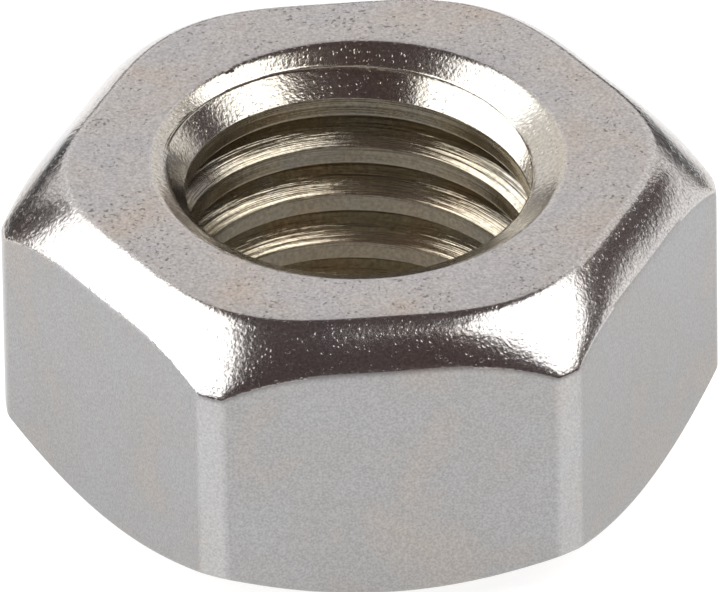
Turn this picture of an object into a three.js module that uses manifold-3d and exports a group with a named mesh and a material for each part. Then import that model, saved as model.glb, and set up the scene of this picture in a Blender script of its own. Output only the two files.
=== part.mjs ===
// A plain hex nut, M12 x 1.75, cold-formed in steel, tapped right-handed and zinc plated.
//
// It is one piece of metal. Its axis is +Z, its lower bearing face lies on z = 0, and two
// of its six corners point along +X and -X. Everything is in millimetres.

import * as THREE from 'three';
import { mergeVertices } from 'three/addons/utils/BufferGeometryUtils.js';
import Module from 'manifold-3d';

// ---------------------------------------------------------------- driving dimensions

const ACROSS_FLATS = 19;
const ACROSS_CORNERS = 21.5;          // over the rounded corners, less than a sharp 21.9
const HEIGHT = 9.8;                   // 9.64 to 10 is allowed

const THREAD_DIAMETER = 12;           // at the root of the nut's thread
const PITCH = 1.75;
const BORE_DIAMETER = 10.4;           // at the crest of the nut's thread
const FLANK_ANGLE = Math.PI / 6;      // each flank from the plane across the axis
const ROOT_WIDTH = PITCH / 8;
const GROOVE_HEIGHT_ON_X = 1.56;      // where a groove crosses the +X side, above the lower face

const COUNTERSINK_DIAMETER = 12.46;
const COUNTERSINK_SLOPE = Math.PI / 6; // from the face, so a 120 degree cone

// Each end is drawn in by a shoulder to a bearing face. A shoulder's drop is measured from
// the face down to a corner. The lower one is a plain cone. The upper one is steeper, and
// the forming die has pressed it in over each side, by a share of its radius that is full
// over the middle of a flat and nothing at a corner. The share grows from the face down.
const LOWER_FACE_DIAMETER = 17.2;
const LOWER_SHOULDER_DROP = 1.5;
const UPPER_FACE_DIAMETER = 17.7;     // at the corners
const UPPER_SHOULDER_DROP = 1.85;
const PRESS_AT_FACE = 0.055;
const PRESS_AT_CORNER_DEPTH = 0.07;

const SIDES = 6;
const SEGMENTS = 60;                  // steps in one turn, a multiple of the six sides
const OVERRUN = 1;                    // how far each cutter runs past the metal
const THREAD_OVERLAP = 0.15;          // how far the thread cutter's back stands inside the bore

// ---------------------------------------------------------------- worked out from them

const TURN = Math.PI * 2;
const FLAT_RADIUS = ACROSS_FLATS / 2;
const CORNER_RADIUS = ACROSS_CORNERS / 2;
const LOWER_FACE_RADIUS = LOWER_FACE_DIAMETER / 2;
const UPPER_FACE_RADIUS = UPPER_FACE_DIAMETER / 2;
const BORE_RADIUS = BORE_DIAMETER / 2;
const ROOT_RADIUS = THREAD_DIAMETER / 2;
const MOUTH_RADIUS = COUNTERSINK_DIAMETER / 2;
const COUNTERSINK_DEPTH = (MOUTH_RADIUS - BORE_RADIUS) * Math.tan(COUNTERSINK_SLOPE);

const zincPlatedSteel = new THREE.MeshStandardMaterial({
  color: 0xb5b2af,
  metalness: 1,
  roughness: 0.35,
});

const wasm = await Module();
wasm.setup();

// A closed three.js geometry as a solid that can be cut.
function toSolid(geometry) {
  const bare = geometry.index ? geometry.clone() : geometry;
  bare.deleteAttribute('normal');
  bare.deleteAttribute('uv');
  const merged = mergeVertices(bare);
  return new wasm.Manifold(new wasm.Mesh({
    numProp: 3,
    vertProperties: new Float32Array(merged.attributes.position.array),
    triVerts: new Uint32Array(merged.index.array),
  }));
}

function toGeometry(solid) {
  const mesh = solid.getMesh();
  const geometry = new THREE.BufferGeometry();
  geometry.setAttribute('position', new THREE.BufferAttribute(mesh.vertProperties, 3));
  geometry.setIndex(new THREE.BufferAttribute(mesh.triVerts, 1));
  geometry.computeVertexNormals();
  return geometry;
}

// A profile of [radius, height] points, from the axis back to the axis, turned about +Z.
function turned(profile) {
  const points = profile.map(([radius, height]) => new THREE.Vector2(radius, height));
  return new THREE.LatheGeometry(points, SEGMENTS).rotateX(TURN / 4);
}

// ---------------------------------------------------------------- the blank

// The wrench flats: a straight hexagonal bar with sharp corners.
function hexagonalBar() {
  const sharpCorner = FLAT_RADIUS / Math.cos(Math.PI / SIDES);
  const corners = [];
  for (let i = 0; i < SIDES; i += 1) {
    const angle = (i / SIDES) * TURN;
    corners.push(new THREE.Vector2(sharpCorner * Math.cos(angle), sharpCorner * Math.sin(angle)));
  }
  return new THREE.ExtrudeGeometry(new THREE.Shape(corners), { depth: HEIGHT, bevelEnabled: false });
}

// The upper half is drawn in over each side, as its die does.
function pressUpperSides(geometry) {
  const place = geometry.attributes.position;
  for (let i = 0; i < place.count; i += 1) {
    if (place.getZ(i) > HEIGHT / 2) {
      const angle = Math.atan2(place.getY(i), place.getX(i));
      const shareOfPress = (1 - Math.cos(SIDES * angle)) / 2;
      const depth = (HEIGHT - place.getZ(i)) / UPPER_SHOULDER_DROP;
      const press = PRESS_AT_FACE + (PRESS_AT_CORNER_DEPTH - PRESS_AT_FACE) * depth;
      const kept = 1 - press * shareOfPress;
      place.setXY(i, place.getX(i) * kept, place.getY(i) * kept);
    }
  }
  return geometry;
}

// The outline that the dies leave: round corners, and a shoulder at each end.
function dieOutline() {
  return pressUpperSides(turned([
    [0, 0],
    [LOWER_FACE_RADIUS, 0],
    [CORNER_RADIUS, LOWER_SHOULDER_DROP],
    [CORNER_RADIUS, HEIGHT - UPPER_SHOULDER_DROP],
    [UPPER_FACE_RADIUS, HEIGHT],
    [0, HEIGHT],
  ]));
}

// ---------------------------------------------------------------- the cutters

// The plain bore at the thread's crest, with a countersink at each end.
function boreCutter() {
  return turned([
    [0, -OVERRUN],
    [MOUTH_RADIUS, -OVERRUN],
    [MOUTH_RADIUS, 0],
    [BORE_RADIUS, COUNTERSINK_DEPTH],
    [BORE_RADIUS, HEIGHT - COUNTERSINK_DEPTH],
    [MOUTH_RADIUS, HEIGHT],
    [MOUTH_RADIUS, HEIGHT + OVERRUN],
    [0, HEIGHT + OVERRUN],
  ]);
}

// The groove between two threads, x out from the axis and y along it.
function grooveSection() {
  const backRadius = BORE_RADIUS - THREAD_OVERLAP;
  const halfRoot = ROOT_WIDTH / 2;
  const halfBack = halfRoot + (ROOT_RADIUS - backRadius) * Math.tan(FLANK_ANGLE);
  return new THREE.Shape([
    new THREE.Vector2(backRadius, -halfBack),
    new THREE.Vector2(ROOT_RADIUS, -halfRoot),
    new THREE.Vector2(ROOT_RADIUS, halfRoot),
    new THREE.Vector2(backRadius, halfBack),
  ]);
}

// The tap's path: a straight bar of the groove's section, wound into a helix that goes down
// clockwise, seen from above, as a right-hand tap does.
function threadCutter() {
  const turns = Math.ceil((HEIGHT + 2 * OVERRUN) / PITCH) + 2;
  const turnsBelowTop = Math.ceil(HEIGHT / PITCH) + 1;
  const topHeight = GROOVE_HEIGHT_ON_X + turnsBelowTop * PITCH;
  const bar = new THREE.ExtrudeGeometry(grooveSection(), {
    depth: turns,
    steps: turns * SEGMENTS,
    bevelEnabled: false,
  });
  const place = bar.attributes.position;
  for (let i = 0; i < place.count; i += 1) {
    const radius = place.getX(i);
    const turnsDone = place.getZ(i);
    const angle = -turnsDone * TURN;
    const height = topHeight + place.getY(i) - turnsDone * PITCH;
    place.setXYZ(i, radius * Math.cos(angle), radius * Math.sin(angle), height);
  }
  return bar;
}

// ---------------------------------------------------------------- the nut

function nutBody() {
  const blank = toSolid(hexagonalBar()).intersect(toSolid(dieOutline()));
  const tapped = blank.subtract(toSolid(boreCutter())).subtract(toSolid(threadCutter()));
  const mesh = new THREE.Mesh(toGeometry(tapped), zincPlatedSteel);
  mesh.name = 'nut_body';
  return mesh;
}

const nut = new THREE.Group();
nut.add(nutBody());

export default nut;
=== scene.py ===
# %% [markdown]
# # A hex nut in cold-formed, zinc plated steel
#
# This lesson builds the looks of one M12 hex nut around a finished, measured model of it.
# The measured model is the frame: it fixes where the nut is and how big it is. Blender adds
# what the frame leaves plain: soft pressed edges, a fine thread, and the skin of the zinc.

# %% Load the frame
import math

import bmesh
import bpy
from mathutils import Matrix, Vector


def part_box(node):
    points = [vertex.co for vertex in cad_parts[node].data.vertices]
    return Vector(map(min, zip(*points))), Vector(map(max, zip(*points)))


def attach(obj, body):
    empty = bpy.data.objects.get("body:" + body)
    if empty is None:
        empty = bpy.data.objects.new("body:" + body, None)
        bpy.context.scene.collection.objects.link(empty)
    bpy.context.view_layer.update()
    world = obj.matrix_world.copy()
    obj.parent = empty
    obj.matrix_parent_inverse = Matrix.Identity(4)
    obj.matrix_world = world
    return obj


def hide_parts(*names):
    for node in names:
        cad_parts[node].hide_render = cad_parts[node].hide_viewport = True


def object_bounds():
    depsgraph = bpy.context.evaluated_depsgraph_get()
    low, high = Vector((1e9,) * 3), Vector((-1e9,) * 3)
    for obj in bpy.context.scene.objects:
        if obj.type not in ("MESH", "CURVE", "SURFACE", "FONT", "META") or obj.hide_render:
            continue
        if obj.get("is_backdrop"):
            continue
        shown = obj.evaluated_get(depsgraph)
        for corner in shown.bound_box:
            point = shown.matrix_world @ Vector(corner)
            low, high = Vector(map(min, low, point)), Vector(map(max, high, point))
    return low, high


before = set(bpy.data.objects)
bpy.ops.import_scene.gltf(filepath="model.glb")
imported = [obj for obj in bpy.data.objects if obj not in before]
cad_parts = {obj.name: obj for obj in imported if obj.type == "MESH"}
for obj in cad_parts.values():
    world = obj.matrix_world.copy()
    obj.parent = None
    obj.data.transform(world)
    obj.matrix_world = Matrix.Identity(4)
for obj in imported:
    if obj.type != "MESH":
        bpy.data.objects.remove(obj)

cad_low, cad_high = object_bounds()
print("frame nodes:", sorted(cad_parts))

# %% [markdown]
# Blender counts in metres and a nut is drawn in millimetres, so every size below is written in
# millimetres and multiplied by MM once. The outer sizes come from the frame's own box. The rest
# are the sizes that a fitter would read off the drawing of an M12 nut.

# %% Sizes
MM = 0.001
node_low, node_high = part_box("nut_body")

HEIGHT = (node_high.z - node_low.z) / MM
FLAT_RADIUS = (node_high.y - node_low.y) / 2 / MM
CORNER_RADIUS = (node_high.x - node_low.x) / 2 / MM

PITCH = 1.75
NOMINAL_RADIUS = 6.0
TAPPED_RADIUS = 6.1            # a tap cuts a little past the nominal size, to a narrower root
CREST_RADIUS = 5.2
FLANK_ANGLE = math.radians(30)
GROOVE_HEIGHT_ON_X = 1.56      # a groove crosses the +X side this far up

MOUTH_RADIUS = 6.23
COUNTERSINK_SLOPE = math.radians(30)

UPPER_FACE_RADIUS = 8.85       # at a corner
UPPER_DROP = 1.85
FACE_PRESS = 0.055             # share of the radius pressed in over the middle of a side
CREASE_PRESS = 0.07            # the same, at the depth of a corner
UPPER_SWELL = 0.05             # how far the dome swells out between its two edges
LOWER_FACE_RADIUS = 8.6
LOWER_DROP = 1.5

SIXTH = math.radians(60)
print(f"nut: {HEIGHT:.2f} high, {2 * FLAT_RADIUS:.2f} across flats,"
      f" {2 * CORNER_RADIUS:.2f} across corners (mm)")

# %% [markdown]
# The blank is the nut before it is tapped. A press makes it in two moves: it squeezes a slug
# of steel into a round disc, then squeezes the disc into a die with six flat walls. The same
# two moves work here. First half of a section is drawn as a chain of edges and spun round the
# axis. The spin takes small steps at the corners, where the steel bends sharply, and wide
# steps over the flats.

# %% A section, spun into a round disc
SHOULDER_ROWS = 5
SIDE_ROWS = 8
CORNER_ZONE = math.radians(10)  # the part of each sixth that gets small steps
CORNER_STEPS = 20
FLAT_STEPS = 24
FACE_RING_RADIUS = 7.2          # the disc's hole for now; the thread is joined to it later

TOP_EDGE_ROW = 1
TOP_CREASE_ROW = TOP_EDGE_ROW + SHOULDER_ROWS
LOW_CREASE_ROW = TOP_CREASE_ROW + SIDE_ROWS
LOW_EDGE_ROW = LOW_CREASE_ROW + SHOULDER_ROWS


def along(start, end, rows):
    """Evenly spaced points from start to end, with both of them."""
    return [Vector(start).lerp(Vector(end), row / rows) for row in range(rows + 1)]


def disc_section():
    """The (radius, height) points of the section at a corner, from the top face to the lower one."""
    top_edge = (UPPER_FACE_RADIUS, HEIGHT)
    top_corner = (CORNER_RADIUS, HEIGHT - UPPER_DROP)
    low_corner = (CORNER_RADIUS, LOWER_DROP)
    low_edge = (LOWER_FACE_RADIUS, 0)
    points = [Vector((FACE_RING_RADIUS, HEIGHT))]
    points += along(top_edge, top_corner, SHOULDER_ROWS)
    points += along(top_corner, low_corner, SIDE_ROWS)[1:]
    points += along(low_corner, low_edge, SHOULDER_ROWS)[1:]
    points += [Vector((FACE_RING_RADIUS, 0))]
    return points


def chain(mesh, points):
    """Adds (radius, height) points, in millimetres, as a chain of edges over the +X axis."""
    verts = [mesh.verts.new((radius * MM, 0, height * MM)) for radius, height in points]
    edges = [mesh.edges.new(pair) for pair in zip(verts, verts[1:])]
    return verts, edges


def spin_on(mesh, last, angle, steps, rise=0.0):
    """Spins the last section on by an angle, rising as it goes, and returns the new last one."""
    done = bmesh.ops.spin(
        mesh, geom=last, cent=(0, 0, 0), axis=(0, 0, 1), angle=angle, steps=steps,
        dvec=(0, 0, rise / steps), use_merge=False, use_normal_flip=False, use_duplicate=False,
    )
    return done["geom_last"]


def spun_disc():
    mesh = bmesh.new()
    row_of = mesh.verts.layers.int.new("row")
    verts, edges = chain(mesh, disc_section())
    for row, vert in enumerate(verts):
        vert[row_of] = row
    last = spin_on(mesh, verts + edges, CORNER_ZONE / 2, CORNER_STEPS // 2)
    for side in range(6):
        last = spin_on(mesh, last, SIXTH - CORNER_ZONE, FLAT_STEPS)
        if side < 5:
            last = spin_on(mesh, last, CORNER_ZONE, CORNER_STEPS)
    spin_on(mesh, last, CORNER_ZONE / 2, CORNER_STEPS // 2)
    bmesh.ops.remove_doubles(mesh, verts=mesh.verts, dist=0.001 * MM)
    return mesh


nut = spun_disc()
print("disc:", len(nut.verts), "points,", len(nut.faces), "faces")

# %% [markdown]
# Now the die. Every point of the disc knows its row in the section and its angle round the
# axis, and that is enough to say where the die puts it. On the side it lands on the nearest
# flat wall, or on the rounded corner. On a shoulder it lands on a dome that is pressed in over
# the middle of each side. The row where dome and flat meet is moved to exactly that line, so
# the long arc over each flat is a clean row of edges that can be rounded afterwards.

# %% The die
CORNER_SOFTNESS = 0.05          # how gently a flat turns into the rounded corner
HALVINGS = 30                   # enough to find the dome's end far finer than a micrometre


def soft_min(a, b, softness):
    """The smaller of two lengths, with the switch between them rounded off."""
    blend = max(softness - abs(a - b), 0) / softness
    return min(a, b) - blend * blend * softness / 4


def soft_max(a, b, softness):
    return -soft_min(-a, -b, softness)


def off_flat(angle):
    """The angle from the middle of the nearest flat."""
    return (angle % SIXTH) - SIXTH / 2


def wall_radius(angle):
    """How far out the die's flat wall is at an angle."""
    return FLAT_RADIUS / math.cos(off_flat(angle))


def side_radius(angle):
    return soft_min(wall_radius(angle), CORNER_RADIUS, CORNER_SOFTNESS)


def dome_radius(angle, depth):
    """How far out the upper dome is, depth being 0 at the face and 1 at a corner."""
    round_radius = UPPER_FACE_RADIUS + (CORNER_RADIUS - UPPER_FACE_RADIUS) * depth
    press = FACE_PRESS + (CREASE_PRESS - FACE_PRESS) * depth
    return round_radius * (1 - press * (1 - math.cos(6 * angle)) / 2)


def dome_end(angle):
    """The depth at which the dome meets the wall, found by halving the gap again and again."""
    low, high = 0.0, 1.0
    for _ in range(HALVINGS):
        middle = (low + high) / 2
        if dome_radius(angle, middle) < wall_radius(angle):
            low = middle
        else:
            high = middle
    return high


def upper_shoulder(angle, share):
    """A point of the upper dome, share being 0 at the face and 1 where it meets the side."""
    depth = share * dome_end(angle)
    swell = UPPER_SWELL * 4 * share * (1 - share)
    radius = min(dome_radius(angle, depth) + swell, side_radius(angle))
    return radius, HEIGHT - depth * UPPER_DROP + swell


def lower_shoulder(angle, share):
    """A point of the lower cone, share being 0 at the face and 1 where it meets the side."""
    width = CORNER_RADIUS - LOWER_FACE_RADIUS
    drop = share * min((wall_radius(angle) - LOWER_FACE_RADIUS) / width, 1)
    return min(LOWER_FACE_RADIUS + width * drop, side_radius(angle)), drop * LOWER_DROP


def in_the_die(angle, row):
    """The (radius, height) that the die gives to a row of the section at an angle."""
    if row <= TOP_CREASE_ROW:
        return upper_shoulder(angle, (row - TOP_EDGE_ROW) / SHOULDER_ROWS)
    if row >= LOW_CREASE_ROW:
        return lower_shoulder(angle, (LOW_EDGE_ROW - row) / SHOULDER_ROWS)
    top = upper_shoulder(angle, 1)[1]
    low = lower_shoulder(angle, 1)[1]
    share = (row - TOP_CREASE_ROW) / SIDE_ROWS
    return side_radius(angle), top + (low - top) * share


def press(mesh):
    row_of = mesh.verts.layers.int["row"]
    for vert in mesh.verts:
        if TOP_EDGE_ROW <= vert[row_of] <= LOW_EDGE_ROW:
            angle = math.atan2(vert.co.y, vert.co.x)
            radius, height = in_the_die(angle, vert[row_of])
            vert.co = (radius * MM * math.cos(angle), radius * MM * math.sin(angle), height * MM)


press(nut)
print("pressed: across flats at half height",
      round(2 * side_radius(SIXTH / 2), 3), "mm")

# %% [markdown]
# No edge of a pressed part is truly sharp. The edge of each face is the softer one, because
# the punch leaves a little room there, so it gets a wider bevel in more steps. The arc over each
# flat gets a narrow one, which is enough for a highlight to run along it.

# %% Round the edges
FACE_EDGE_ROUNDING = 0.3
FACE_EDGE_STEPS = 5
CREASE_ROUNDING = 0.13
CREASE_STEPS = 3


def row_edges(mesh, row):
    row_of = mesh.verts.layers.int["row"]
    return [edge for edge in mesh.edges if all(vert[row_of] == row for vert in edge.verts)]


def round_edges(mesh, edges, width, steps):
    bmesh.ops.bevel(
        mesh, geom=edges, offset=width * MM, offset_type="OFFSET", segments=steps, profile=0.5,
        affect="EDGES", material=-1, clamp_overlap=True,
    )


face_edges = row_edges(nut, TOP_EDGE_ROW) + row_edges(nut, LOW_EDGE_ROW)
creases = row_edges(nut, TOP_CREASE_ROW) + row_edges(nut, LOW_CREASE_ROW)
round_edges(nut, face_edges, FACE_EDGE_ROUNDING, FACE_EDGE_STEPS)
creases = [edge for edge in creases if edge.is_valid]
round_edges(nut, creases, CREASE_ROUNDING, CREASE_STEPS)
print("rounded blank:", len(nut.verts), "points,", len(nut.faces), "faces")

# %% [markdown]
# The thread is what a tap leaves: one groove that climbs a pitch in each turn. Its section over
# one pitch is drawn as six points, its corners are rounded by a vertex bevel, and it is cut into
# short steps. Then it is spun about the axis with a rise, so that each turn ends exactly where
# the next one begins, and merging the doubled points makes one continuous helical skin.

# %% One pitch of the thread's section
THREAD_ROUNDING = 0.04
THREAD_POINT_GAP = 0.07         # how long a step along the section may be
STEPS_PER_TURN = 192


def groove_half_width(radius):
    """Half the height of the groove at a radius: an eighth of a pitch wide at the nominal size."""
    return PITCH / 16 + (NOMINAL_RADIUS - radius) * math.tan(FLANK_ANGLE)


def thread_corners():
    """The (radius, height) corners over one pitch, from the middle of a crest to the next."""
    root_half = groove_half_width(TAPPED_RADIUS)
    opening_half = groove_half_width(CREST_RADIUS)
    middle = PITCH / 2
    return [
        (CREST_RADIUS, 0),
        (CREST_RADIUS, middle - opening_half),
        (TAPPED_RADIUS, middle - root_half),
        (TAPPED_RADIUS, middle + root_half),
        (CREST_RADIUS, middle + opening_half),
        (CREST_RADIUS, PITCH),
    ]


def thread_section(mesh, start_height):
    points = [(radius, start_height + height) for radius, height in thread_corners()]
    verts, edges = chain(mesh, points)
    bmesh.ops.bevel(
        mesh, geom=verts[1:-1], offset=THREAD_ROUNDING * MM, offset_type="OFFSET", segments=3,
        profile=0.5, affect="VERTICES", material=-1,
    )
    for edge in list(mesh.edges):
        cuts = int(edge.calc_length() / (THREAD_POINT_GAP * MM))
        if cuts:
            bmesh.ops.subdivide_edges(mesh, edges=[edge], cuts=cuts)
    return list(mesh.verts) + list(mesh.edges)


def one_turn(start_height):
    mesh = bmesh.new()
    section = thread_section(mesh, start_height)
    print("thread section:", len(mesh.verts), "points")
    spin_on(mesh, section, math.tau, STEPS_PER_TURN, PITCH * MM)
    return mesh


def thread_skin():
    turns_below = 2
    start_height = GROOVE_HEIGHT_ON_X - PITCH / 2 - turns_below * PITCH
    mesh = one_turn(start_height)
    first_turn = list(mesh.verts) + list(mesh.edges) + list(mesh.faces)
    for turn in range(1, math.ceil((HEIGHT - start_height) / PITCH)):
        copy = bmesh.ops.duplicate(mesh, geom=first_turn)["geom"]
        copied_points = [part for part in copy if isinstance(part, bmesh.types.BMVert)]
        bmesh.ops.translate(mesh, verts=copied_points, vec=(0, 0, turn * PITCH * MM))
    bmesh.ops.remove_doubles(mesh, verts=mesh.verts, dist=0.002 * MM)
    return mesh


thread = thread_skin()
print("thread skin:", len(thread.verts), "points,", len(thread.faces), "faces")

# %% [markdown]
# A countersink is a cone that opens the mouth so that a bolt finds its way in. Cutting it into
# the thread means that each point takes whichever is wider there, the groove or the cone. The
# softened choice rounds the ridge between the two, as burnishing does on a real nut. The punch
# also pushed the first turn of the groove partly shut, so at the top the groove is no wider
# than a slope that rises from the first crest. After that the skin is cut off level at both
# ends, and its rims are drawn out over the faces.

# %% Countersinks and mouths
RIDGE_SOFTNESS = 0.08
FILL_SLOPE = 0.84               # how much wider the filled first turn gets for each mm up
FILL_FADE_FROM = 1.3            # depth of the groove's middle where the filling starts to fade
FILL_FADE = 2                   # how much wider it gets for each mm that the groove lies deeper
MOUTH_ROUNDING = 0.16           # how far the rounded mouth reaches down the cone and over the face
MOUTH_STEPS = 5


def cone_radius(height):
    """The radius of the nearer countersink at a height, or less than the bore where it has ended."""
    depth = min(height, HEIGHT - height)
    return MOUTH_RADIUS - depth / math.tan(COUNTERSINK_SLOPE)


def first_groove_height(angle):
    """How high the middle of the uppermost groove is at an angle, where it hasn't run out yet."""
    run_out = (HEIGHT - GROOVE_HEIGHT_ON_X) / PITCH * math.tau
    turned = (angle - run_out) % math.tau - math.tau + run_out
    return GROOVE_HEIGHT_ON_X + PITCH * turned / math.tau


def first_crest_height(angle):
    """How high the first crest below the top face ends, where that groove begins."""
    return first_groove_height(angle) - groove_half_width(CREST_RADIUS)


def filled_radius(angle, height):
    """How wide the bore may be at a place: in the first turn the groove is partly pressed shut."""
    above_crest = height - first_crest_height(angle)
    if above_crest < 0:
        return TAPPED_RADIUS
    depth = HEIGHT - first_groove_height(angle)
    fade = max(depth - FILL_FADE_FROM, 0) * FILL_FADE
    return min(CREST_RADIUS + FILL_SLOPE * above_crest + fade, TAPPED_RADIUS)


def set_radius(vert, radius):
    scale = radius * MM / math.hypot(vert.co.x, vert.co.y)
    vert.co.x *= scale
    vert.co.y *= scale


def countersink(mesh):
    for vert in mesh.verts:
        height = vert.co.z / MM
        angle = math.atan2(vert.co.y, vert.co.x)
        radius = math.hypot(vert.co.x, vert.co.y) / MM
        radius = min(radius, filled_radius(angle, height))
        set_radius(vert, soft_max(radius, cone_radius(height), RIDGE_SOFTNESS))


def cut_level(mesh, height, keep_side):
    """Cuts the skin off at a height and keeps what lies on one side: +1 above, -1 below."""
    parts = list(mesh.verts) + list(mesh.edges) + list(mesh.faces)
    bmesh.ops.bisect_plane(
        mesh, geom=parts, dist=0.01 * MM, plane_co=(0, 0, height * MM),
        plane_no=(0, 0, keep_side), clear_inner=True, clear_outer=False,
    )


def rim(mesh, height, near=0.01):
    """The open edges of the mesh at a height."""
    return [
        edge for edge in mesh.edges
        if edge.is_boundary and all(abs(vert.co.z / MM - height) < near for vert in edge.verts)
    ]


def draw_out(mesh, edges, radius, height):
    """Extrudes a rim to a circle of that radius and height, and returns the new rim."""
    made = bmesh.ops.extrude_edge_only(mesh, edges=edges)["geom"]
    for vert in (part for part in made if isinstance(part, bmesh.types.BMVert)):
        set_radius(vert, radius)
        vert.co.z = height * MM
    return [part for part in made if isinstance(part, bmesh.types.BMEdge) and part.is_boundary]


def open_mouth(mesh, face_height, into_metal):
    """Cuts one end level inside its mouth, and rolls it over onto the face in a few rings."""
    reach = Vector((math.cos(COUNTERSINK_SLOPE), -into_metal * math.sin(COUNTERSINK_SLOPE)))
    edge = Vector((MOUTH_RADIUS, face_height))
    on_cone = edge - MOUTH_ROUNDING * reach
    on_face = edge + Vector((MOUTH_ROUNDING, 0))
    cut_level(mesh, on_cone.y, into_metal)
    loop = rim(mesh, on_cone.y)
    for step in range(1, MOUTH_STEPS + 1):
        share = step / MOUTH_STEPS
        ring = on_cone.lerp(edge, share).lerp(edge.lerp(on_face, share), share)
        loop = draw_out(mesh, loop, ring.x, ring.y)


countersink(thread)
open_mouth(thread, HEIGHT, -1)
open_mouth(thread, 0, +1)
print("countersunk thread:", len(thread.verts), "points,", len(thread.faces), "faces")

# %% [markdown]
# Both skins now end in circles on the same two faces. They go into one mesh, and a bridge of faces
# between the circles closes each bearing face. A nut is one piece of metal, so the edges that are
# not shared by exactly two faces are counted and printed, with the volume.

# %% Join the thread to the blank
def take_in(mesh, other):
    """Adds a second mesh to the first."""
    carrier = bpy.data.meshes.new("carrier")
    other.to_mesh(carrier)
    other.free()
    mesh.from_mesh(carrier)
    bpy.data.meshes.remove(carrier)


take_in(nut, thread)
for face_height in (HEIGHT, 0):
    bmesh.ops.bridge_loops(nut, edges=rim(nut, face_height))
bmesh.ops.recalc_face_normals(nut, faces=nut.faces)
open_edges = sum(not edge.is_manifold for edge in nut.edges)
print("nut:", len(nut.faces), "faces,", open_edges, "open edges, volume",
      round(nut.calc_volume() / MM ** 3, 1), "mm3")

# %% [markdown]
# Different tools have touched the parts of a nut, and each leaves its own skin under the zinc.
# So every face of the mesh is given the finish of the tool that made it. Where a face lies and
# which way it looks is enough to tell. The first turn of the thread runs out through the cone,
# and it was pressed smooth with it, so it counts as part of the countersink.

# %% Which tool made each face
FINISHES = ["pressed face", "drawn flat", "formed shoulder", "countersink", "tapped thread"]
ON_CONE = 0.04                  # mm that a face of the cone may stand out from the plain cone
LEVEL = 0.97                    # how much a face of the bearing face looks up or down
SLOPING = 0.48                  # the same for a shoulder; steeper faces slid along the die's wall


def finish_of(face):
    center = face.calc_center_median() / MM
    radius = math.hypot(center.x, center.y)
    if radius < MOUTH_RADIUS:
        on_cone = radius < cone_radius(center.z) + ON_CONE
        in_first_turn = center.z > first_crest_height(math.atan2(center.y, center.x))
        return "countersink" if on_cone or in_first_turn else "tapped thread"
    if abs(face.normal.z) > LEVEL:
        return "pressed face"
    return "formed shoulder" if abs(face.normal.z) > SLOPING else "drawn flat"


for face in nut.faces:
    face.smooth = True
    face.material_index = FINISHES.index(finish_of(face))
for index, finish in enumerate(FINISHES):
    print(finish, sum(face.material_index == index for face in nut.faces), "faces")

# %% [markdown]
# The mesh becomes one object that stands at the origin, unturned and unscaled. It replaces the
# plain nut of the frame and rides on the same body.

# %% The finished piece
def object_from(mesh, name):
    data = bpy.data.meshes.new(name)
    mesh.to_mesh(data)
    mesh.free()
    piece = bpy.data.objects.new(name, data)
    bpy.context.scene.collection.objects.link(piece)
    return piece


nut_piece = object_from(nut, "hex_nut")
weighted = nut_piece.modifiers.new("keep flats flat", "WEIGHTED_NORMAL")
weighted.keep_sharp = True

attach(nut_piece, "root")
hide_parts("nut_body")

# %% [markdown]
# ## The five finishes
#
# All of the nut wears the same coat: bright electroplated zinc with a thin passivation film. A
# coat that thin copies whatever lies under it, so the finishes differ in how smooth the steel
# was when it went into the bath. Zinc is a metal, so each material is fully metallic, keeps the
# default IOR and gets all its colour from the reflections that its base colour tints.
#
# A pattern is sized in millimetres. A noise texture draws about one blotch per unit of its
# coordinates, and the coordinates here are metres, so its scale is one over the blotch's size.

# %% A helper for nodes, and one for colours
def linear(hex_code):
    """An sRGB hex colour as the linear colour that a shader wants."""
    channels = [int(hex_code[start:start + 2], 16) / 255 for start in (1, 3, 5)]
    return [c / 12.92 if c < 0.04045 else ((c + 0.055) / 1.055) ** 2.4 for c in channels] + [1]


def add_node(tree, kind, inputs, **settings):
    """Adds a node with its settings, sets or links its inputs, and returns its outputs."""
    node = tree.nodes.new(kind)
    for name, value in settings.items():
        setattr(node, name, value)
    for socket, value in inputs.items():
        if isinstance(value, bpy.types.NodeSocket):
            tree.links.new(value, node.inputs[socket])
        else:
            node.inputs[socket].default_value = value
    return node.outputs


print("white is", linear("#ffffff"), "in linear light")

# %% [markdown]
# Every finish starts and ends alike. It starts as a polished or dull metal with the piece's own
# coordinates at hand, so that the patterns stay on the nut wherever it goes. It ends with a
# colour, a shade that darkens it, and a height pattern that tilts the light a little.

# %% How a zinc finish starts and ends
def zinc_plated(name, roughness):
    """Starts a material: returns it, its node tree and the piece's own coordinates."""
    material = bpy.data.materials.new(name)
    material.use_nodes = True
    shader = material.node_tree.nodes["Principled BSDF"]
    shader.inputs["Metallic"].default_value = 1
    shader.inputs["Roughness"].default_value = roughness
    place = add_node(material.node_tree, "ShaderNodeTexCoord", {})["Object"]
    return material, material.node_tree, place


def skin(tree, color, shade, height, depth):
    """Ends a material: its colour times its shade, and its height standing out by depth mm."""
    # Inputs 6 and 7 of a mix node are its two colours, and output 2 is the mixed one.
    shader = tree.nodes["Principled BSDF"]
    shaded = add_node(tree, "ShaderNodeMix", {0: 1.0, 6: color, 7: shade}, data_type="RGBA",
                      blend_type="MULTIPLY")
    bump = add_node(tree, "ShaderNodeBump", {"Height": height, "Distance": depth * MM})
    tree.links.new(shaded[2], shader.inputs["Base Color"])
    tree.links.new(bump["Normal"], shader.inputs["Normal"])


# %% [markdown]
# The passivation film is thinner than a wavelength of light in some places and thicker in
# others, so it tints the zinc straw in one patch and blue-grey in the next, as oil does on
# water. One soft noise decides: where it is high the colour leans to straw, where it is low to
# blue, and between the two it is the plain zinc.

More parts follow.
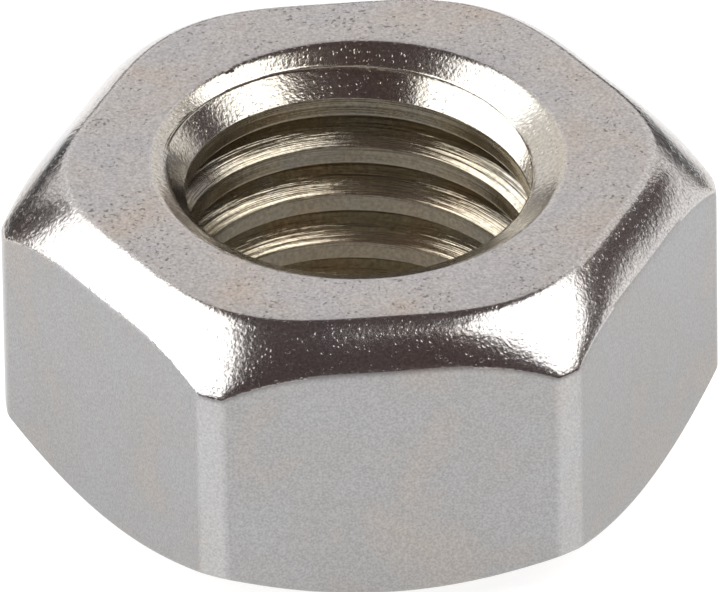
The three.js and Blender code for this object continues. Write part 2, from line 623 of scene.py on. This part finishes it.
# %% The film, the grain and the flaws of the zinc
FILM_PATCH = 3.2                # mm across one patch of tint
SPECK_CROWD = 1.5               # mm between places where the specks crowd
SPECK_CROWDING = 0.25           # how much more likely a speck is in a crowd
SPECK_LEVEL = 0.86              # the noise has to pass this, less the share, to be a speck
SPECK_SOFTNESS = 0.08
PIT_CELL = 0.13                 # mm from pit to pit
PIT_WIDTH = 0.07                # mm across the widest
PIT_DEPTH = 0.45                # of the orange peel's depth
PIT_RARITY = 3.0                # the higher, the fewer wide pits
PIT_SLOPE = 0.06                # how wide a pit's sloping wall is, in cells
STRAW = "#c9ab8c"
BLUE = "#abb0bc"


def film(tree, place, plain, strength):
    """The plain zinc's colour, tinted in soft patches by the film."""
    patches = add_node(tree, "ShaderNodeTexNoise", {
        "Vector": place, "Scale": 1 / (FILM_PATCH * MM), "Detail": 2.0, "Distortion": 0.6,
    })["Fac"]
    to_straw = add_node(tree, "ShaderNodeMapRange", {
        "Value": patches, "From Min": 0.5, "From Max": 0.7, "To Max": strength,
    })["Result"]
    to_blue = add_node(tree, "ShaderNodeMapRange", {
        "Value": patches, "From Min": 0.5, "From Max": 0.3, "To Max": strength,
    })["Result"]
    straw = add_node(tree, "ShaderNodeMix", {0: to_straw, 6: linear(plain), 7: linear(STRAW)},
                     data_type="RGBA")[2]
    return add_node(tree, "ShaderNodeMix", {0: to_blue, 6: straw, 7: linear(BLUE)},
                    data_type="RGBA")[2]


def grain(tree, place, size, darkest, lightest):
    """The crystals of the zinc: their pattern, and the shade that they give the colour."""
    crystals = add_node(tree, "ShaderNodeTexNoise", {
        "Vector": place, "Scale": 1 / (size * MM), "Detail": 2.0,
    })["Fac"]
    shade = add_node(tree, "ShaderNodeMapRange", {
        "Value": crystals, "From Min": 0.3, "From Max": 0.7, "To Min": darkest, "To Max": lightest,
    })["Result"]
    return crystals, shade


def specks(tree, place, size, share, darkest):
    """Irregular dark specks, more of them in some places: 1 between them, darkest inside."""
    spots = add_node(tree, "ShaderNodeTexNoise", {
        "Vector": place, "Scale": 1 / (size * MM), "Detail": 1.5,
    })["Fac"]
    crowd = add_node(tree, "ShaderNodeTexNoise", {
        "Vector": place, "Scale": 1 / (SPECK_CROWD * MM), "Detail": 1.0,
    })["Fac"]
    level = add_node(tree, "ShaderNodeMath", {0: crowd, 1: SPECK_CROWDING, 2: spots},
                     operation="MULTIPLY_ADD")[0]
    return add_node(tree, "ShaderNodeMapRange", {
        "Value": level, "From Min": SPECK_LEVEL - share,
        "From Max": SPECK_LEVEL + SPECK_SOFTNESS - share, "To Min": 1.0, "To Max": darkest,
    })["Result"]


def pits(tree, place):
    """Round pits, one in each cell and most of them tiny: 0 inside a pit and 1 around it."""
    dots = add_node(tree, "ShaderNodeTexVoronoi", {"Vector": place, "Scale": 1 / (PIT_CELL * MM)})
    chance = add_node(tree, "ShaderNodeSeparateColor", {0: dots["Color"]})[0]
    rare = add_node(tree, "ShaderNodeMath", {0: chance, 1: PIT_RARITY}, operation="POWER")[0]
    past_rim = add_node(tree, "ShaderNodeMath", {
        0: rare, 1: -PIT_WIDTH / PIT_CELL, 2: dots["Distance"],
    }, operation="MULTIPLY_ADD")[0]
    return add_node(tree, "ShaderNodeMapRange", {
        "Value": past_rim, "From Min": -PIT_SLOPE, "From Max": PIT_SLOPE,
    })["Result"]


def peel_and_pits(tree, place, size):
    """The height of a bright pressed skin: an orange peel of that size, with pits in it."""
    peel = add_node(tree, "ShaderNodeTexNoise", {
        "Vector": place, "Scale": 1 / (size * MM), "Detail": 2.0,
    })["Fac"]
    return add_node(tree, "ShaderNodeMath", {0: pits(tree, place), 1: PIT_DEPTH, 2: peel},
                    operation="MULTIPLY_ADD")[0]


# %% [markdown]
# **Pressed face.** The bearing face was flattened by a punch, and a punch face is ground, not
# polished. The plated skin over it is dull and grey: it shows no clear reflections, only a soft
# glow, with fine dark specks where scale was pressed in. So it is nearly the roughest finish, and
# the grain and the specks are in its colour as well as in its bump.

# %% Pressed face
def pressed_face():
    material, tree, place = zinc_plated("zinc plated pressed face", 0.4)
    crystals, shade = grain(tree, place, 0.08, 0.76, 1.18)
    flaws = specks(tree, place, 0.13, 0.1, 0.5)
    flawed = add_node(tree, "ShaderNodeMath", {0: shade, 1: flaws}, operation="MULTIPLY")[0]
    height = add_node(tree, "ShaderNodeMath", {0: crystals, 1: 0.6, 2: flaws},
                      operation="MULTIPLY_ADD")[0]
    skin(tree, film(tree, place, "#bebab7", 0.24), flawed, height, 0.006)
    return material


# %% [markdown]
# ** Drawn flat.** The six flats slid along the walls of the die, which leaves an even, satin grey with a grain so fine that it is drawn here a little coarser than it is, to show at all. That grey is darker than the rest of the coat: painted shade, for the dimmer light that the flats get.
# At the corners the steel never filled the die, which leaves them rounded, and a slightly paler band
# is painted over them: a painted highlight, standing in for the light that the rounding catches. The
# cosine of six times the angle about the axis peaks at each corner.

# %% Drawn flat
# A painted highlight: a paler band over the rounded corners.
CORNER_BAND_START = 0.955       # of that cosine
CORNER_BAND_END = 0.985
CORNER_PAINTED_HIGHLIGHT = 1.27


def drawn_flat():
    material, tree, place = zinc_plated("zinc plated drawn flat", 0.42)
    crystals, shade = grain(tree, place, 0.07, 0.84, 1.14)
    xyz = add_node(tree, "ShaderNodeSeparateXYZ", {0: place})
    angle = add_node(tree, "ShaderNodeMath", {0: xyz["Y"], 1: xyz["X"]}, operation="ARCTAN2")[0]
    six_times = add_node(tree, "ShaderNodeMath", {0: angle, 1: 6.0}, operation="MULTIPLY")[0]
    cornerness = add_node(tree, "ShaderNodeMath", {0: six_times}, operation="COSINE")[0]
    # The paler corner band is a painted highlight, not a different finish.
    painted_corner_highlight = add_node(tree, "ShaderNodeMapRange", {
        "Value": cornerness, "From Min": CORNER_BAND_START, "From Max": CORNER_BAND_END,
        "To Min": 1.0, "To Max": CORNER_PAINTED_HIGHLIGHT,
    })["Result"]
    shade_and_painted_highlight = add_node(tree, "ShaderNodeMath", {0: shade, 1: painted_corner_highlight}, operation="MULTIPLY")[0]
    # The flats' grey, #a1a09f, is darker than the zinc of the other finishes: painted shade.
    skin(tree, film(tree, place, "#a1a09f", 0.12), shade_and_painted_highlight, crystals, 0.004)
    return material


# %% [markdown]
# **Formed shoulder.** Here the steel flowed freely against a polished die, so the zinc over it
# is bright and mirrors the studio: white where it faces a softbox, nearly black where it faces
# the gap between two. What breaks the mirror up is the skin of the metal itself: a fine orange
# peel, small round pits, and long shallow folds where the steel was squeezed.

# %% Formed shoulder
FOLD_SIZE = 0.5                 # mm
FOLD_DEPTH = 1.2                # of the orange peel's depth


def formed_shoulder():
    material, tree, place = zinc_plated("zinc plated formed shoulder", 0.19)
    _, shade = grain(tree, place, 0.08, 0.75, 1.1)
    folds = add_node(tree, "ShaderNodeTexNoise", {
        "Vector": place, "Scale": 1 / (FOLD_SIZE * MM), "Detail": 1.0, "Distortion": 1.5,
    })["Fac"]
    height = add_node(tree, "ShaderNodeMath", {
        0: folds, 1: FOLD_DEPTH, 2: peel_and_pits(tree, place, 0.1),
    }, operation="MULTIPLY_ADD")[0]
    skin(tree, film(tree, place, "#c4c1be", 0.15), shade, height, 0.0065)
    return material


# %% [markdown]
# **Countersink.** The cone at each mouth was pressed in with the blank, so it is as bright as
# the shoulder. Its zinc lies thicker and catches less fresh bath, which leaves it warmer.

# %% Countersink
def countersink_cone():
    material, tree, place = zinc_plated("zinc plated countersink", 0.17)
    _, shade = grain(tree, place, 0.1, 0.8, 1.1)
    height = peel_and_pits(tree, place, 0.12)
    skin(tree, film(tree, place, "#c4bfb4", 0.2), shade, height, 0.008)
    return material


# %% [markdown]
# **Tapped thread.** A tap cuts, and its teeth leave fine lines that run along the groove, up
# the helix. To draw them, the pattern needs a coordinate that is the same all along one line:
# the height minus the climb of the helix at that angle. As an angle this is the phase of the
# thread, 0 in the middle of a groove. It jumps from a full turn back to nothing, so its cosine
# and sine go to the noise instead: they put it on a ring, which has no seam. A slow drift along
# the groove lets each line fade in and out.
#
# The tap's teeth rub hardest on the flank that faces up, so the lines are strongest there. The
# zinc in the bore is thin and yellower, and little light reaches it.

# %% Tapped thread
LINES_PER_PITCH = 30            # real tap marks are finer still, and wouldn't show
LINE_LENGTH = 3.5               # mm before a line fades, along x
LINE_DRIFT = 1.3                # mm up the bore before the lines have all changed


def tapped_thread():
    material, tree, place = zinc_plated("zinc plated tapped thread", 0.2)
    crystals, shade = grain(tree, place, 0.12, 0.78, 1.1)
    xyz = add_node(tree, "ShaderNodeSeparateXYZ", {0: place})
    angle = add_node(tree, "ShaderNodeMath", {0: xyz["Y"], 1: xyz["X"]}, operation="ARCTAN2")[0]
    climb = add_node(tree, "ShaderNodeMath", {
        0: xyz["Z"], 1: math.tau / (PITCH * MM), 2: -math.tau * GROOVE_HEIGHT_ON_X / PITCH,
    }, operation="MULTIPLY_ADD")[0]
    phase = add_node(tree, "ShaderNodeMath", {0: climb, 1: angle}, operation="SUBTRACT")[0]
    cosine = add_node(tree, "ShaderNodeMath", {0: phase}, operation="COSINE")[0]
    sine = add_node(tree, "ShaderNodeMath", {0: phase}, operation="SINE")[0]
    rings_apart = math.tau / LINES_PER_PITCH / MM
    drift = add_node(tree, "ShaderNodeVectorMath", {
        0: place, 1: (rings_apart / LINE_LENGTH, 0, rings_apart / LINE_DRIFT),
    }, operation="DOT_PRODUCT")["Value"]
    ring = add_node(tree, "ShaderNodeCombineXYZ", {"X": cosine, "Y": sine, "Z": drift})[0]
    lines = add_node(tree, "ShaderNodeTexNoise", {
        "Vector": ring, "Scale": LINES_PER_PITCH / math.tau, "Detail": 3.0, "Roughness": 0.6,
    })["Fac"]
    upper_flank = add_node(tree, "ShaderNodeMapRange", {
        "Value": sine, "From Min": -0.2, "From Max": -0.8, "To Min": 0.12,
    })["Result"]
    marks = add_node(tree, "ShaderNodeMath", {0: lines, 1: upper_flank}, operation="MULTIPLY")[0]
    height = add_node(tree, "ShaderNodeMath", {0: crystals, 1: 0.1, 2: marks},
                      operation="MULTIPLY_ADD")[0]
    skin(tree, film(tree, place, "#c0b7a3", 0.3), shade, height, 0.035)
    return material


# %% [markdown]
# The materials go into the piece's slots in the order of the finishes, because each face keeps
# only the number of its slot.

# %% Give the nut its finishes
for finish in (pressed_face, drawn_flat, formed_shoulder, countersink_cone, tapped_thread):
    nut_piece.data.materials.append(finish())
print("finishes:", [material.name for material in nut_piece.data.materials])

# %% [markdown]
# ## The studio
#
# Polished metal has no look of its own, only what it mirrors, so the lights are placed by what
# the nut should mirror. Two large softboxes hang left and right with a dark gap overhead: the
# gap is what draws the dark bands on the shoulders and in the countersink. A low card at the
# right and one in front fill the flats, and a wide one behind fills the top face. Each light is
# given by its radiance, how bright its surface looks, because that is what a mirror shows:
# power is radiance times area times pi.

# %% Softboxes and cards
def area_light(name, place, target, size, radiance, turn=0.0):
    """A rectangular light in metres, facing its target and turned about the vertical by degrees."""
    data = bpy.data.lights.new(name, "AREA")
    data.shape = "RECTANGLE"
    data.size, data.size_y = size
    data.energy = radiance * size[0] * size[1] * math.pi
    light = bpy.data.objects.new(name, data)
    light.location = place
    light.rotation_euler = (Vector(target) - Vector(place)).to_track_quat("-Z", "Y").to_euler()
    light.rotation_euler.z += math.radians(turn)
    light.visible_camera = False
    bpy.context.scene.collection.objects.link(light)
    print(f"{name}: {data.energy:.1f} W")


area_light(
    "left_softbox", place=(-0.915, 0.08, 0.377), target=(-0.768, 0.08, -0.053),
    size=(0.94, 1.31), radiance=3.0, turn=-16,
)
area_light(
    "right_softbox", place=(0.885, -0.19, 0.8), target=(0.885, -0.19, 0),
    size=(1.25, 0.95), radiance=3.0, turn=-17,
)
area_light(
    "right_low_card", place=(1.2, 0.42, 0.14), target=(0, 0, 0.01), size=(1.3, 0.26), radiance=1.2,
)
area_light(
    "back_card", place=(0.1, 1.4, 0.86), target=(0, 0, 0), size=(3.0, 1.4), radiance=0.95,
)
area_light(
    "front_card", place=(-0.1, -1.4, 0.25), target=(0, 0, 0), size=(1.6, 0.5), radiance=0.7,
)

# %% [markdown]
# The nut lies on a light table: a pale sheet that glows, so it stays white right up to the nut
# with hardly a shadow. The glow is held back under the nut, where it would light the bore from
# below. Two low black flags stand behind the nut, left and right, a few centimetres off. They
# are only there to be mirrored in the far corners, so the camera and the light pass through.

# %% Light table, flags and room
TABLE_SIZE = 6.0                # m
TABLE_GLOW = 0.8
GLOW_IN_BORE = 0.24
GLOW_START = 6.3                # mm from the axis
GLOW_FULL = 8.6
FLAG_SIZE = (0.052, 0.014)      # m, and so are the places
FLAG_PLACES = [(-0.048, 0.06, 0.007), (0.05, 0.06, 0.007)]


def flat_sheet(name, size_x, size_y):
    """A level rectangle at the origin, with a material of its own, that belongs to the stage."""
    mesh = bmesh.new()
    bmesh.ops.create_grid(mesh, x_segments=1, y_segments=1, size=0.5)
    bmesh.ops.scale(mesh, verts=mesh.verts, vec=(size_x, size_y, 1))
    sheet = object_from(mesh, name)
    material = bpy.data.materials.new(name)
    material.use_nodes = True
    sheet.data.materials.append(material)
    sheet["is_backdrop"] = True
    return sheet, material.node_tree, material.node_tree.nodes["Principled BSDF"]


_, tree, shader = flat_sheet("opal light table", TABLE_SIZE, TABLE_SIZE)
shader.inputs["Base Color"].default_value = linear("#aaaaaa")
shader.inputs["Roughness"].default_value = 0.9
shader.inputs["Emission Color"].default_value = linear("#ffffff")
place = add_node(tree, "ShaderNodeTexCoord", {})["Object"]
from_axis = add_node(tree, "ShaderNodeVectorMath", {0: place}, operation="LENGTH")["Value"]
glow = add_node(tree, "ShaderNodeMapRange", {
    "Value": from_axis, "From Min": GLOW_START * MM, "From Max": GLOW_FULL * MM,
    "To Min": GLOW_IN_BORE, "To Max": TABLE_GLOW,
})["Result"]
tree.links.new(glow, shader.inputs["Emission Strength"])

for flag_place in FLAG_PLACES:
    flag, tree, shader = flat_sheet("black flag", *FLAG_SIZE)
    shader.inputs["Base Color"].default_value = linear("#151113")
    shader.inputs["Roughness"].default_value = 1.0
    flag.location = flag_place
    flag.rotation_euler.x = math.radians(90)
    flag.visible_camera = False
    flag.visible_diffuse = False
    flag.visible_shadow = False

room = bpy.data.worlds.new("dim studio")
room.use_nodes = True
room.node_tree.nodes["Background"].inputs["Color"].default_value = linear("#554848")
bpy.context.scene.world = room
bpy.context.scene.view_settings.view_transform = "Standard"
print("table", TABLE_SIZE, "m wide, flags", FLAG_SIZE[1] / MM, "mm high")

# %% [markdown]
# Something this small is best seen from well back through a long lens, so that the near and far
# flats keep almost the same size. The camera looks from the front, a little from
# the left, about 35 degrees down, and is tipped by a degree, as a tripod easily is.

# %% Camera
VIEW_AZIMUTH = math.radians(-5.116)
VIEW_ELEVATION = math.radians(35.076)
VIEW_ROLL = math.radians(-0.912)
VIEW_DISTANCE = 0.768           # m
SENSOR_WIDTH = 36               # mm
LENS = 1278.5                   # mm, for that sensor
SHIFT_X = -0.00056              # of the sensor's width
SHIFT_Y = -0.00431


def aim_camera(target):
    data = bpy.data.cameras.new("camera")
    data.sensor_width = SENSOR_WIDTH
    data.lens = LENS
    data.clip_start, data.clip_end = 0.01, 10
    data.shift_x, data.shift_y = SHIFT_X, SHIFT_Y
    camera = bpy.data.objects.new("camera", data)
    bpy.context.scene.collection.objects.link(camera)
    level = math.cos(VIEW_ELEVATION)
    back = Vector((math.sin(VIEW_AZIMUTH) * level, -math.cos(VIEW_AZIMUTH) * level,
                   math.sin(VIEW_ELEVATION)))
    facing = (-back).to_track_quat("-Z", "Y").to_matrix().to_4x4()
    roll = Matrix.Rotation(VIEW_ROLL, 4, "Z")
    camera.matrix_world = Matrix.Translation(target + back * VIEW_DISTANCE) @ facing @ roll
    bpy.context.scene.camera = camera
    return camera


camera = aim_camera(Vector((0, 0, HEIGHT / 2 * MM)))
print("camera at", [round(value, 3) for value in camera.matrix_world.translation], "m")

# %% [markdown]
# Last, the size. The looks must not change the nut's dimensions, so the box of the frame, kept since
# the start, and the box of the finished model are printed one after the other.

# %% The sizes of both boxes
visual_low, visual_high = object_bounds()
size = {
    "cad": [list(cad_low), list(cad_high)],
    "visual": [list(visual_low), list(visual_high)],
}
for name, (low, high) in size.items():
    print(name, "box:", [round((b - a) / MM, 3) for a, b in zip(low, high)], "mm")
